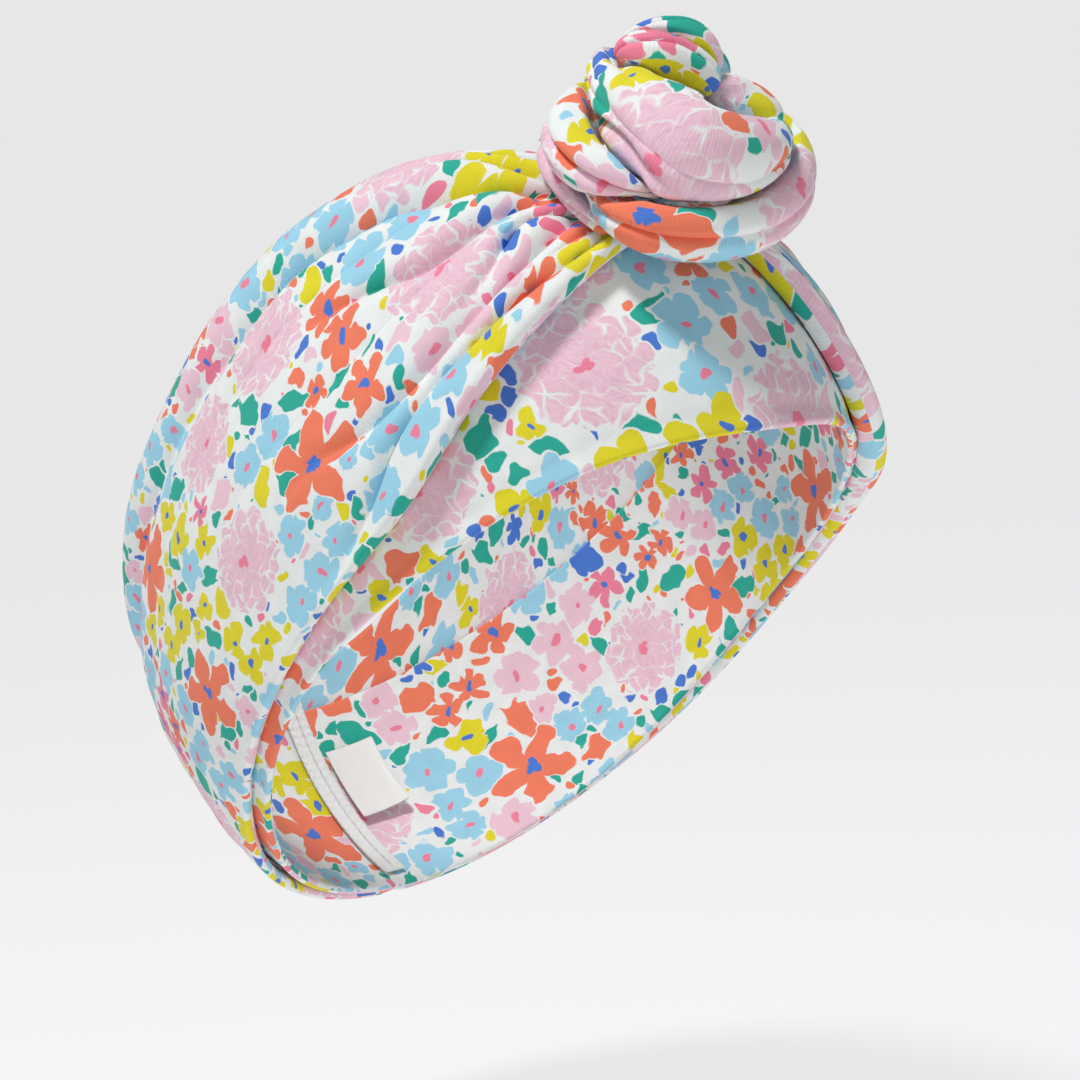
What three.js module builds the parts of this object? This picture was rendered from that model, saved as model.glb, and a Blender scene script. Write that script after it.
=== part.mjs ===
// Knotted headband: a wide, doubled stretch-jersey band with two gathered wraps that
// come up from the nape, cross the temples and are tied in a round knot at the front top.
// Millimetres, +Z up. The origin is the centre of the head that fills the band; the
// wearer faces -Y and the wearer's left is +X.
import * as THREE from 'three';

// ---------------------------------------------------------------- driving dimensions
const HEAD_HALF_WIDTH = 73.3;        // half breadth of the head, along X
const HEAD_HALF_LENGTH = 97.7;       // half length, along a line that rises to the front
const HEAD_HALF_HEIGHT = 86.3;       // half height, square to the length
const HEAD_PITCH = 34;               // degrees that the length rises to the front
const RING_PITCH = 43;               // degrees that the plane of the band rises to the front

const INNER_BAND = { bottom: 0.4, top: 2.0 };      // height of each layer over the skin
const ELASTIC = { bottom: 2.5, top: 3.2 };
const WRAP = { bottom: 3.8, top: 5.8 };
const NECK_TOP = 8.0;                // gathered cloth under the knot
const SEAM_ALLOWANCE = { bottom: -1.1, top: -0.25 };
const LABEL = { bottom: -2.1, top: -1.6 };

const SPLIT_AROUND = 90;             // degrees round the band where front becomes back
const SEAM_HALF_GAP = 0.2;           // degrees between the two wraps at the back seam
const NECK_AROUND = 8;               // degrees from the centre where the necks begin
const NECK_ACROSS = { low: 1, high: 19 };

const KNOT_CENTRE = new THREE.Vector3(-2.7, -74, 84.5);
const KNOT_MIDDLE = [0, -2, 5];      // every strand faces away from this point of the knot
const KNOT_LEAN = 60;                // degrees that the knot's axis stands above level
const KNOT_TURN = 23;                // degrees that it turns to the wearer's right
const KNOT_FLOOR = WRAP.top + 3;     // nothing of the knot comes nearer the skin
const KNOT_FLOOR_AT_NECK = NECK_TOP + 2.2;
const STRAND_GAP = 1.1;

const JERSEY = { roughness: 0.9, metalness: 0 };
const colours = {
  print: 0xf0dfe6, printDeep: 0xf3a7b8, base: 0xf2f6f5, coral: 0xfb8667,
  yellow: 0xe8de33, green: 0x45c0b3, sky: 0xa9dff2, elastic: 0xe9e9e6, thread: 0xffffff,
};

// ---------------------------------------------------------------- head and ring frame
const radians = THREE.MathUtils.degToRad;
const headLength = new THREE.Vector3(0, -Math.cos(radians(HEAD_PITCH)), Math.sin(radians(HEAD_PITCH)));
const headHeight = new THREE.Vector3(0, Math.sin(radians(HEAD_PITCH)), Math.cos(radians(HEAD_PITCH)));
const ringFront = new THREE.Vector3(0, -Math.cos(radians(RING_PITCH)), Math.sin(radians(RING_PITCH)));
const ringUp = new THREE.Vector3(0, Math.sin(radians(RING_PITCH)), Math.cos(radians(RING_PITCH)));
const ringSide = new THREE.Vector3(-1, 0, 0);      // to the wearer's right

// A place on the head: around is in degrees from the knot towards the wearer's right,
// across in degrees from the plane of the band towards the crown.
function headDirection(around, across) {
  const a = radians(around);
  const c = radians(across);
  return new THREE.Vector3()
    .addScaledVector(ringFront, Math.cos(c) * Math.cos(a))
    .addScaledVector(ringSide, Math.cos(c) * Math.sin(a))
    .addScaledVector(ringUp, Math.sin(c));
}

function headPoint(around, across, height) {
  const d = headDirection(around, across);
  const x = d.x / (HEAD_HALF_WIDTH + height);
  const y = d.dot(headLength) / (HEAD_HALF_LENGTH + height);
  const z = d.dot(headHeight) / (HEAD_HALF_HEIGHT + height);
  return d.multiplyScalar(1 / Math.hypot(x, y, z));
}

// The height of a free point over the skin, near enough for a few centimetres.
function heightOverSkin(p) {
  const x = p.x / HEAD_HALF_WIDTH;
  const y = p.dot(headLength) / HEAD_HALF_LENGTH;
  const z = p.dot(headHeight) / HEAD_HALF_HEIGHT;
  const level = Math.hypot(x, y, z);
  const slope = Math.hypot(x / HEAD_HALF_WIDTH, y / HEAD_HALF_LENGTH, z / HEAD_HALF_HEIGHT) / level;
  return (level - 1) / slope;
}

function aroundAcross(p) {
  const front = p.dot(ringFront);
  const side = p.dot(ringSide);
  const around = THREE.MathUtils.radToDeg(Math.atan2(side, front));
  const across = THREE.MathUtils.radToDeg(Math.atan2(p.dot(ringUp), Math.hypot(front, side)));
  return { around, across };
}

// A smooth line through hand-set stations, as a function.
function line(stations) {
  const places = stations.map(([place]) => place);
  const values = stations.map(([, value]) => value);
  const curve = new THREE.CubicInterpolant(places, values, 1);
  return (around) => curve.evaluate(fromKnot(around))[0];
}

// Degrees from the knot the short way round, so that both sides of the band match.
function fromKnot(around) {
  const place = Math.abs(around);
  return place > 180 ? 360 - place : place;
}

// Edges of the layers, as [degrees around from the knot, degrees across].
const bandLowerEdge = line([[0, -26.5], [30, -24], [60, -23], [90, -21], [130, -20.5], [180, -18.5]]);
const bandUpperEdge = line([[0, 13], [60, 15], [120, 18], [180, 17]]);
const wrapUpperEdge = line([[7, 20], [20, 33], [40, 42.5], [65, 45.5], [95, 44], [140, 33], [180, 23]]);
const rightWrapFold = line([[7, 1], [20, -3], [37, -9], [52, -14.5], [75, -16.5], [120, -17.5], [180, -17]]);
const leftWrapFold = line([[7, 0], [12, -9], [20, -19], [30, -24], [60, -23.5], [120, -20.5], [180, -17]]);

// ---------------------------------------------------------------- mesh helpers
function closedGeometry(points, triangles) {
  const positions = new Float32Array(points.flatMap((p) => [p.x, p.y, p.z]));
  let volume = 0;
  const cross = new THREE.Vector3();
  for (const [a, b, c] of triangles) {
    cross.crossVectors(points[b], points[c]);
    volume += points[a].dot(cross);
  }
  const index = triangles.flatMap(([a, b, c]) => (volume < 0 ? [a, c, b] : [a, b, c]));
  const geometry = new THREE.BufferGeometry();
  geometry.setAttribute('position', new THREE.BufferAttribute(positions, 3));
  geometry.setIndex(index);
  geometry.computeVertexNormals();
  return geometry;
}

// Joins equal closed loops of points into one tube wall, with a cap at each end.
function loftLoops(loops, capTriangles) {
  const sides = loops[0].length;
  const points = loops.flat();
  const triangles = [];
  for (let i = 0; i + 1 < loops.length; i += 1) {
    for (let j = 0; j < sides; j += 1) {
      const a = i * sides + j;
      const b = i * sides + ((j + 1) % sides);
      triangles.push([a, b, b + sides], [a, b + sides, a + sides]);
    }
  }
  const last = (loops.length - 1) * sides;
  for (const [a, b, c] of capTriangles) {
    triangles.push([a, c, b], [a + last, b + last, c + last]);
  }
  return closedGeometry(points, triangles);
}

// A layer of cloth over the head, with rolled edges. lower and upper give its edges;
// bottom and top give its two faces as heights over the skin.
function clothLayer({ from, to, steps, rows, lower, upper, bottom, top }) {
  const loops = [];
  for (let i = 0; i <= steps; i += 1) {
    const around = from + ((to - from) * i) / steps;
    const low = lower(around);
    const high = upper(around);
    const edge = 0.7;                                   // degrees of rolled edge
    const outside = [];
    const inside = [];
    for (let j = 0; j <= rows; j += 1) {
      const share = j / rows;
      const across = low + edge + (high - low - 2 * edge) * share;
      outside.push(headPoint(around, across, top(around, share)));
      inside.push(headPoint(around, across, bottom(around, share)));
    }
    const lowMiddle = (top(around, 0) + bottom(around, 0)) / 2;
    const highMiddle = (top(around, 1) + bottom(around, 1)) / 2;
    const lowRoll = headPoint(around, low, lowMiddle);
    const highRoll = headPoint(around, high, highMiddle);
    loops.push([...outside, highRoll, ...inside.reverse(), lowRoll]);
  }
  return loftLoops(loops, layerCap(rows));
}

// The cap of a layer's loop: a strip between its outside row and its inside row.
function layerCap(rows) {
  const inside = (j) => 2 * rows + 2 - j;
  const highRoll = rows + 1;
  const lowRoll = 2 * rows + 3;
  const triangles = [[lowRoll, 0, inside(0)], [highRoll, inside(rows), rows]];
  for (let j = 0; j < rows; j += 1) {
    triangles.push([j, j + 1, inside(j + 1)], [j, inside(j + 1), inside(j)]);
  }
  return triangles;
}

function fanCap(sides) {
  const triangles = [];
  for (let j = 1; j + 1 < sides; j += 1) {
    triangles.push([0, j, j + 1]);
  }
  return triangles;
}

function constant(value) {
  return () => value;
}

const headband = new THREE.Group();
headband.name = 'knotted_headband';

function addPiece(name, geometry, colour, finish = JERSEY) {
  const mesh = new THREE.Mesh(geometry, new THREE.MeshStandardMaterial({ color: colour, ...finish }));
  mesh.name = name;
  headband.add(mesh);
}

// ---------------------------------------------------------------- inner band
function innerBand(from, to) {
  return clothLayer({
    from, to, steps: 24, rows: 6,
    lower: bandLowerEdge,
    upper: bandUpperEdge,
    bottom: constant(INNER_BAND.bottom),
    top: constant(INNER_BAND.top),
  });
}

// ---------------------------------------------------------------- wraps
// Pleats stand up towards the knot and die out towards the temples.
function wrapTop(around, share) {
  const towardsKnot = THREE.MathUtils.smoothstep(55 - Math.abs(around), 0, 48);
  const pleat = Math.sin(share * Math.PI * 5) ** 2;
  return WRAP.top - 0.9 * towardsKnot * (1 - pleat);
}

function wrap(side, from, to, foldLine) {
  return clothLayer({
    from: side * from, to: side * to, steps: 20, rows: 10,
    lower: (around) => foldLine(around),
    upper: wrapUpperEdge,
    bottom: constant(WRAP.bottom),
    top: wrapTop,
  });
}

// The neck of a wrap: its gathered end, which rises into the knot from beneath.
function neck(side) {
  const start = 0.25;
  return clothLayer({
    from: side * start, to: side * (NECK_AROUND - 0.3), steps: 4, rows: 6,
    lower: constant(NECK_ACROSS.low),
    upper: constant(NECK_ACROSS.high),
    bottom: constant(WRAP.bottom),
    top: (around) => THREE.MathUtils.lerp(NECK_TOP, WRAP.top, Math.abs(around) / NECK_AROUND),
  });
}

// ---------------------------------------------------------------- nape
function napeStrip(fromAround, toAround, low, high, layer, steps, rows) {
  return clothLayer({
    from: fromAround, to: toAround, steps, rows,
    lower: constant(low),
    upper: constant(high),
    bottom: constant(layer.bottom),
    top: constant(layer.top),
  });
}

const SEAM_LOW = -16;
const SEAM_HIGH = 21;
const THREAD = { width: 0.8, thickness: 0.35, gap: 0.3 };

// A line of stitches, as the raised cord of thread that it makes on the cloth.
function threadLine(around, low, high, bottom, steps) {
  const halfWidth = THREE.MathUtils.radToDeg(THREAD.width / 2 / HEAD_HALF_WIDTH);
  const layer = { bottom, top: bottom + THREAD.thickness };
  return napeStrip(around - halfWidth, around + halfWidth, low, high, layer, 1, steps);
}

// ---------------------------------------------------------------- knot
const knotUp = new THREE.Vector3(
  -Math.cos(radians(KNOT_LEAN)) * Math.sin(radians(KNOT_TURN)),
  -Math.cos(radians(KNOT_LEAN)) * Math.cos(radians(KNOT_TURN)),
  Math.sin(radians(KNOT_LEAN)),
);
const knotRight = new THREE.Vector3(Math.cos(radians(40)), -Math.sin(radians(40)), 0);
knotRight.addScaledVector(knotUp, -knotRight.dot(knotUp)).normalize();
const knotFront = new THREE.Vector3().crossVectors(knotRight, knotUp);

// A point of the knot, from millimetres to its right, front and up.
function knotPoint([right, front, up]) {
  return KNOT_CENTRE.clone()
    .addScaledVector(knotRight, right)
    .addScaledVector(knotFront, front)
    .addScaledVector(knotUp, up);
}

// Each strand's stations: right, front, up, half width and half depth of its oval section.
const strands = {
  knot_core: [[0, -1, -1, 13, 12], [-1, -1, 5, 13, 12], [-2, -4, 11, 8, 7]],
  knot_outer_coil: [
    [-16.3, 13.1, -1.5, 4, 4.5], [-12.8, 19.8, -2, 5.8, 6], [-6.1, 22.6, -2.5, 7.2, 7.4], [2.9, 22.3, -2.5, 8, 8],
    [11.4, 18.5, -2.5, 8, 8], [18.3, 10.7, -2, 8, 8], [22.6, 0.5, -1, 7.8, 7.8], [23, -9, 0.5, 7.4, 7.4],
    [19.5, -16, 2, 7, 7], [12, -21, 2, 7, 7], [3, -23, 2, 7, 7],
  ],
  knot_side_fold: [
    [-1, -23, 3, 7, 6.5], [-8, -20.5, 4, 7, 6.5], [-15, -15.5, 5.5, 7.4, 6.8], [-20.7, -8, 6.5, 7.8, 6.8],
    [-24.3, 1, 6, 7.6, 6.6], [-22, 9, 5, 7, 6.4], [-17.2, 15.2, 4, 6.6, 6], [-11, 18.6, 3, 5.8, 5.2],
    [-4, 19.5, 3, 4.6, 4.2],
  ],
  knot_tucked_end: [
    [21, -9.5, 4, 6.4, 6], [16.3, -9.8, 9, 6.6, 6.2], [11.9, -9.8, 11.5, 6.4, 6], [7.9, -8.8, 14, 5.6, 5.4],
    [5.2, -7.4, 15, 4, 4],
  ],
  knot_middle_wrap: [
    [-8.6, -19, 11.6, 4.6, 4.6], [-12.5, -17, 14, 6, 6], [-15.4, -12, 15.5, 7, 6.5], [-14.5, -1.6, 15, 8.4, 7],
    [-9.7, 11.2, 12.6, 12.6, 7.8], [-2.5, 18.6, 9.6, 13.6, 7.8], [6.5, 17, 7.6, 12.6, 7.8],
    [15.5, 7.6, 6.8, 9.4, 7], [21, -5.5, 6, 5, 4.5],
  ],
  knot_top_loop: [
    [-13.9, -7.3, 18.5, 4.5, 4.2], [-12.2, -6.6, 22.3, 5.2, 5], [-7.8, -5.2, 23.7, 5.6, 5.4],
    [-2.4, -5.2, 22.3, 5.8, 5.4], [2.6, -4.8, 19.2, 5.6, 5.2], [5.5, -4.4, 15.5, 4.2, 4],
  ],
  knot_top_roll: [
    [-13.1, -10.4, 17.5, 4, 4], [-12.2, -10.6, 20.6, 4.3, 4.3], [-9.6, -10.8, 23.4, 4.5, 4.5],
    [-5.6, -11, 25, 4.6, 4.6], [-1.2, -11.4, 25.2, 4.6, 4.6], [2, -11.6, 23.8, 4.5, 4.5],
    [4, -11.2, 20.6, 4.3, 4.3], [4.6, -10.4, 16.5, 4, 4],
  ],
  knot_back_roll: [
    [-5.4, -16.6, 12.6, 4.4, 4.4], [-5.4, -17.2, 15.6, 5.4, 5.2], [-2.6, -17.6, 18.6, 5.8, 5.4],
    [2.2, -17.8, 19.2, 5.4, 5.2], [6.2, -17.6, 16.8, 4.8, 4.6], [8.4, -18, 11.5, 4.2, 4.2],
  ],
  knot_under_fold: [
    [-25, -17, -1, 2.8, 2.8], [-27, -11, -2.2, 3.2, 3], [-26.6, -3.9, -3.8, 3.4, 3.2],
    [-23.8, 3.8, -5, 3.4, 3.2], [-20, 12.2, -5.6, 3.4, 3.2], [-15.5, 17.5, -7, 3, 3],
  ],
};

// A place along a strand, from 0 to 1: its centre, the ways across it and out of the knot, and the
// half width and half depth of its section.
function sampleStrand(strand, share) {
  const { curve, stations } = strand;
  const t = curve.getUtoTmapping(share);
  const place = t * (stations.length - 1);
  const i = Math.min(Math.floor(place), stations.length - 2);
  const between = (k) => THREE.MathUtils.lerp(stations[i][k], stations[i + 1][k], place - i);
  const centre = curve.getPoint(t);
  const tangent = curve.getTangent(t);
  const out = centre.clone().sub(knotPoint(KNOT_MIDDLE));
  out.addScaledVector(tangent, -out.dot(tangent)).normalize();
  const across = new THREE.Vector3().crossVectors(tangent, out);
  return { centre, out, across, halfWidth: between(3), halfDepth: between(4) };
}

const SAMPLES_PER_STRAND = 50;
const crowd = Object.entries(strands).map(([name, stations]) => {
  const curve = new THREE.CatmullRomCurve3(stations.map(knotPoint), false, 'centripetal');
  const strand = { name, stations, curve, samples: [] };
  for (let i = 0; i <= SAMPLES_PER_STRAND; i += 1) {
    strand.samples.push(sampleStrand(strand, i / SAMPLES_PER_STRAND));
  }
  return strand;
});

// About how far a point is outside a section; negative inside it.
function outsideOval(point, { centre, out, across, halfWidth, halfDepth }) {
  const away = point.clone().sub(centre);
  const a = away.dot(across);
  const b = away.dot(out);
  const rest = Math.max(away.lengthSq() - a * a - b * b, 0);
  const oval = Math.sqrt((a / halfWidth) ** 2 + (b / halfDepth) ** 2 + rest / halfDepth ** 2);
  return (oval - 1) * Math.min(halfWidth, halfDepth);
}

function clearanceOfOthers(point, own) {
  let clearance = Infinity;
  for (const strand of crowd) {
    if (strand !== own) {
      clearance = Math.min(clearance, ...strand.samples.map((sample) => outsideOval(point, sample)));
    }
  }
  return clearance;
}

function knotFloor(point) {
  const { around, across } = aroundAcross(point);
  const middle = (NECK_ACROSS.low + NECK_ACROSS.high) / 2;
  const away = Math.hypot(around, across - middle);
  return THREE.MathUtils.lerp(KNOT_FLOOR_AT_NECK, KNOT_FLOOR, THREE.MathUtils.smoothstep(away, 8, 14));
}

// What share of its full size a strand swells to in one direction, before it meets its neighbours
// or the cloth beneath.
function reach(centre, towards, endSize, size, own) {
  const tries = 24;
  const least = 0.2 * endSize;
  let clear = least;
  for (let i = 1; i <= tries; i += 1) {
    const share = (endSize * i) / tries;
    const point = centre.clone().addScaledVector(towards, share);
    const pressed = (share - 1) * size > clearanceOfOthers(point, own) - STRAND_GAP;
    if (share > least && (pressed || heightOverSkin(point) < knotFloor(point))) {
      break;
    }
    clear = Math.max(clear, share);
  }
  return clear;
}

function strandGeometry(strand) {
  const sides = 16;
  const length = strand.curve.getLength();
  const steps = Math.max(8, Math.round(length / 4));
  const loops = [];
  for (let i = 0; i <= steps; i += 1) {
    const { centre, out, across, halfWidth, halfDepth } = sampleStrand(strand, i / steps);
    const fromEnd = Math.min(i, steps - i) * (length / steps);
    const round = Math.min(1, (fromEnd + 1.2) / halfDepth);
    const endSize = Math.sqrt(1 - (1 - round) ** 2);
    const loop = [];
    for (let j = 0; j < sides; j += 1) {
      const angle = (2 * Math.PI * j) / sides;
      const towards = new THREE.Vector3()
        .addScaledVector(across, halfWidth * Math.cos(angle))
        .addScaledVector(out, halfDepth * Math.sin(angle));
      const share = reach(centre, towards, endSize, Math.min(halfWidth, halfDepth), strand);
      loop.push(centre.clone().addScaledVector(towards, share));
    }
    loops.push(loop);
  }
  return loftLoops(loops, fanCap(sides));
}

// ---------------------------------------------------------------- assembly
addPiece('inner_band_front', innerBand(-SPLIT_AROUND + 0.2, SPLIT_AROUND - 0.2), colours.sky);
addPiece('inner_band_back', innerBand(SPLIT_AROUND, 360 - SPLIT_AROUND), colours.sky);
addPiece('right_wrap_front', wrap(1, NECK_AROUND, SPLIT_AROUND - 0.2, rightWrapFold), colours.print);
addPiece('right_wrap_back', wrap(1, SPLIT_AROUND, 180 - SEAM_HALF_GAP, rightWrapFold), colours.print);
addPiece('left_wrap_front', wrap(-1, NECK_AROUND, SPLIT_AROUND - 0.2, leftWrapFold), colours.base);
addPiece('left_wrap_back', wrap(-1, SPLIT_AROUND, 180 - SEAM_HALF_GAP, leftWrapFold), colours.base);
addPiece('right_wrap_neck', neck(1), colours.green);
addPiece('left_wrap_neck', neck(-1), colours.green);
addPiece('nape_elastic', napeStrip(150, 210, -14, 2, ELASTIC, 12, 3), colours.elastic);
addPiece('back_seam_allowance', napeStrip(178, 182, SEAM_LOW, SEAM_HIGH, SEAM_ALLOWANCE, 2, 10), colours.base);
const seamThreadBottom = SEAM_ALLOWANCE.bottom - THREAD.gap - THREAD.thickness;
addPiece('back_seam_stitches', threadLine(180, SEAM_LOW + 1, SEAM_HIGH - 1, seamThreadBottom, 12), colours.thread);
addPiece('care_label', napeStrip(182.4, 190.5, -4, 9, LABEL, 3, 3), colours.thread);
for (const [name, side] of [['right_tack_stitches', 1], ['left_tack_stitches', -1]]) {
  const around = side * (NECK_AROUND + 1.5);
  addPiece(name, threadLine(around, 4, 15, WRAP.top + THREAD.gap, 6), colours.thread);
}
const strandColours = {
  knot_core: colours.base,
  knot_outer_coil: colours.sky,
  knot_tucked_end: colours.printDeep,
  knot_middle_wrap: colours.print,
  knot_top_loop: colours.yellow,
  knot_top_roll: colours.green,
  knot_back_roll: colours.coral,
  knot_side_fold: colours.base,
  knot_under_fold: colours.green,
};
for (const strand of crowd) {
  addPiece(strand.name, strandGeometry(strand), strandColours[strand.name]);
}

export default headband;
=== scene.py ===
"""Knotted headband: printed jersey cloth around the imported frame. Metres, +Z up; the wearer faces -Y."""

import math

import bpy
import numpy as np
from mathutils import Matrix, Vector


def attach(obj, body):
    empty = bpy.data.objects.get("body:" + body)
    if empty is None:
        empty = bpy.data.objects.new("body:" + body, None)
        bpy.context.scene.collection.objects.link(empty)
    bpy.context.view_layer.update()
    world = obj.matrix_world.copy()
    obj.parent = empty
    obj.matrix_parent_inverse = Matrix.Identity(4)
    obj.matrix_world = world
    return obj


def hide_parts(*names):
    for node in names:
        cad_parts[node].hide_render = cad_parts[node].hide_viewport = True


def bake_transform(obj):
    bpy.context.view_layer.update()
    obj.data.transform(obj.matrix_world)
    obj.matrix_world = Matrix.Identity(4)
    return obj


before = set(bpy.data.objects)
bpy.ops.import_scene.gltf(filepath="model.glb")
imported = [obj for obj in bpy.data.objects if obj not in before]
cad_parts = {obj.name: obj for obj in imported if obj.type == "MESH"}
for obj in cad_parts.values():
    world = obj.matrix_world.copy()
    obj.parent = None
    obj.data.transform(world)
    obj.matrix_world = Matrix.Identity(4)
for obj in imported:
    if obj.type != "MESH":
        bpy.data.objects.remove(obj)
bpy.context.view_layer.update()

MM = 0.001

# ---- head and band, in millimetres
HEAD_HALF_WIDTH = 73.3
HEAD_HALF_LENGTH = 97.7
HEAD_HALF_HEIGHT = 86.3
HEAD_PITCH = math.radians(34)
RING_PITCH = math.radians(43)

HEAD_LENGTH = np.array([0, -math.cos(HEAD_PITCH), math.sin(HEAD_PITCH)])
HEAD_HEIGHT = np.array([0, math.sin(HEAD_PITCH), math.cos(HEAD_PITCH)])
RING_FRONT = np.array([0, -math.cos(RING_PITCH), math.sin(RING_PITCH)])
RING_UP = np.array([0, math.sin(RING_PITCH), math.cos(RING_PITCH)])
RING_SIDE = np.array([-1.0, 0, 0])
MM_PER_DEGREE = 1.62

INNER_BOTTOM = 0.5
INNER_TOP = 2.0
WRAP_BOTTOM = 2.6
ELASTIC_ROOM = 0.9
WRAP_TOP = 5.2


def head_point(around, across, height):
    """Points on the head, in millimetres. around is in degrees from the knot to the wearer's right,
    across in degrees towards the crown, and height in millimetres over the skin."""
    a = np.radians(around)[..., None]
    c = np.radians(across)[..., None]
    d = np.cos(c) * (np.cos(a) * RING_FRONT + np.sin(a) * RING_SIDE) + np.sin(c) * RING_UP
    x = d[..., 0] / (HEAD_HALF_WIDTH + height)
    y = (d @ HEAD_LENGTH) / (HEAD_HALF_LENGTH + height)
    z = (d @ HEAD_HEIGHT) / (HEAD_HALF_HEIGHT + height)
    return d / np.sqrt(x * x + y * y + z * z)[..., None]


def height_over_skin(p):
    """How far points stand over the head's skin, near enough for a few centimetres."""
    x = p[..., 0] / HEAD_HALF_WIDTH
    y = (p @ HEAD_LENGTH) / HEAD_HALF_LENGTH
    z = (p @ HEAD_HEIGHT) / HEAD_HALF_HEIGHT
    level = np.sqrt(x * x + y * y + z * z)
    slope = np.sqrt((x / HEAD_HALF_WIDTH) ** 2 + (y / HEAD_HALF_LENGTH) ** 2 + (z / HEAD_HALF_HEIGHT) ** 2)
    return (level - 1) * level / slope


def line(*stations):
    """A smooth function through given (place, value) stations, flat beyond its ends."""
    places, values = np.array(stations, float).T
    slopes = np.gradient(values, places)
    slopes[0] = slopes[-1] = 0

    def at(place):
        p = np.clip(np.abs(place), places[0], places[-1])
        i = np.clip(np.searchsorted(places, p, side="right") - 1, 0, len(places) - 2)
        span = places[i + 1] - places[i]
        t = (p - places[i]) / span
        h00, h10 = 2 * t**3 - 3 * t**2 + 1, t**3 - 2 * t**2 + t
        h01, h11 = -2 * t**3 + 3 * t**2, t**3 - t**2
        return h00 * values[i] + h10 * span * slopes[i] + h01 * values[i + 1] + h11 * span * slopes[i + 1]

    return at


def fade(place, start, end):
    """1 before start, 0 after end, smooth between."""
    t = np.clip((place - start) / (end - start), 0, 1)
    return 1 - t * t * (3 - 2 * t)


BAND_LOWER = line((0, -26.5), (30, -24), (60, -23), (90, -21), (130, -20.5), (180, -18.5))
BAND_UPPER = line((0, 13), (60, 15), (120, 18), (180, 17))
WRAP_UPPER = line((0, 17), (7, 20), (20, 33), (40, 42.5), (65, 45.5), (95, 44), (140, 33), (180, 23))
RIGHT_FOLD = line((0, 2), (7, 1), (20, -3), (37, -9), (52, -14.5), (75, -16.5), (120, -17.5), (180, -17))
LEFT_FOLD = line((0, 2), (7, 0), (12, -9), (20, -19), (30, -24), (60, -23.5), (120, -20.5), (180, -17))


# Where a piece was cut from the printed cloth, if not at its corner, in millimetres along and across.
CUT_FROM = {
    "inner_band": (-18.3, -4.1),
    "right_wrap": (22.9, 25.5),
    "knot_middle_wrap": (20.4, 3.2),
    "knot_outer_coil": (100.3, 39.6),
    "knot_side_fold": (31, 14),
    "knot_top_loop": (35.5, 55.6),
    "knot_top_roll": (30.1, 10.1),
    "knot_back_roll": (150, 66),
    "knot_tucked_end": (90, 80),
    "knot_under_fold": (40, 102),
}


# ---- mesh making
def add_object(name, data):
    """A new object in the scene."""
    obj = bpy.data.objects.new(name, data)
    bpy.context.scene.collection.objects.link(obj)
    return obj


def make_piece(name, points, faces, uv, corners):
    """A mesh object from points in millimetres. uv is the cloth map in millimetres, and corners gives
    each face's places in it, in step with faces."""
    uv = np.asarray(uv) + CUT_FROM.get(name, (0, 0))
    mesh = bpy.data.meshes.new(name)
    mesh.from_pydata((np.asarray(points) * MM).tolist(), [], faces)
    layer = mesh.uv_layers.new(name="cloth")
    spread = np.concatenate([np.asarray(corner) for corner in corners])
    layer.data.foreach_set("uv", (uv[spread] * MM).astype(np.float32).ravel())
    mesh.polygons.foreach_set("use_smooth", np.ones(len(mesh.polygons), dtype=bool))
    mesh.update()
    return add_object(name, mesh)


def grid_faces(rows, columns, wrap_rows=False):
    """Quads of a rows by columns grid of points whose columns close on themselves, and the same quads on
    a map that is one column wider, and one row longer if the rows close too."""
    i = np.arange(rows if wrap_rows else rows - 1)[:, None]
    j = np.arange(columns)[None, :]

    def quads(i2, j2, wide):
        return np.stack([i * wide + j, i2 * wide + j, i2 * wide + j2, i * wide + j2], -1).reshape(-1, 4)

    return quads((i + 1) % rows, (j + 1) % columns, columns), quads(i + 1, j + 1, columns + 1)


def facing_out(points, faces, corners):
    """The faces and their map corners, all turned over if they face into the volume."""
    first, second, third, last = (points[[face[k] for face in faces]] for k in (0, 1, 2, -1))
    volume = (first * np.cross(second, third)).sum() + (first * np.cross(third, last)).sum()
    if volume > 0:
        return faces, corners
    return [face[::-1] for face in faces], [corner[::-1] for corner in corners]


def tube_piece(name, rings, uv, closed=False):
    """A closed piece from rings of points: rows of a grid whose columns close on themselves. uv has one
    more column, and one more row if the rows close too. Open ends are capped across the ring."""
    count, columns = rings.shape[:2]
    quads, chart = grid_faces(count, columns, wrap_rows=closed)
    faces, corners = quads.tolist(), chart.tolist()
    if not closed:
        wide = columns + 1
        for start, chart_start, flip in ((0, 0, False), ((count - 1) * columns, (count - 1) * wide, True)):
            for j in range(columns // 2):
                a, b = j, j + 1
                c, d = columns - 1 - j, (columns - j) % columns
                places = list(dict.fromkeys([a, b, c, d]))[::-1 if flip else 1]
                if len(places) > 2:
                    faces.append([start + p for p in places])
                    corners.append([chart_start + p for p in places])
    points = rings.reshape(-1, 3)
    faces, corners = facing_out(points, faces, corners)
    return make_piece(name, points, faces, uv.reshape(-1, 2), corners)


# ---- creases and soft waves
class Crease:
    """A crease between two rolls of cloth. Its line is a share across the cloth against a place along
    it. depth and width are in millimetres, lean tucks its floor sideways, and it dies out from start
    to end."""

    def __init__(self, stations, depth, width, start, end, lean=0.0, opening=0.8):
        self.place = line(*stations)
        self.depth, self.width, self.lean, self.opening = depth, width, lean, opening
        self.start, self.end = start, end

    def at(self, along, share, span):
        """How far the cloth sinks, and how far it slips sideways so that the walls close up."""
        away = (share - self.place(along)) * span
        width = 0.78 * self.width * (1 + self.opening * (1 - fade(along, self.start * 0.4, self.end)))
        strength = fade(along, self.start, self.end)
        near = strength * np.exp(-((away / width) ** 2))
        return 1.2 * self.depth * near, near * (self.lean - 0.85 * away)


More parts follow.
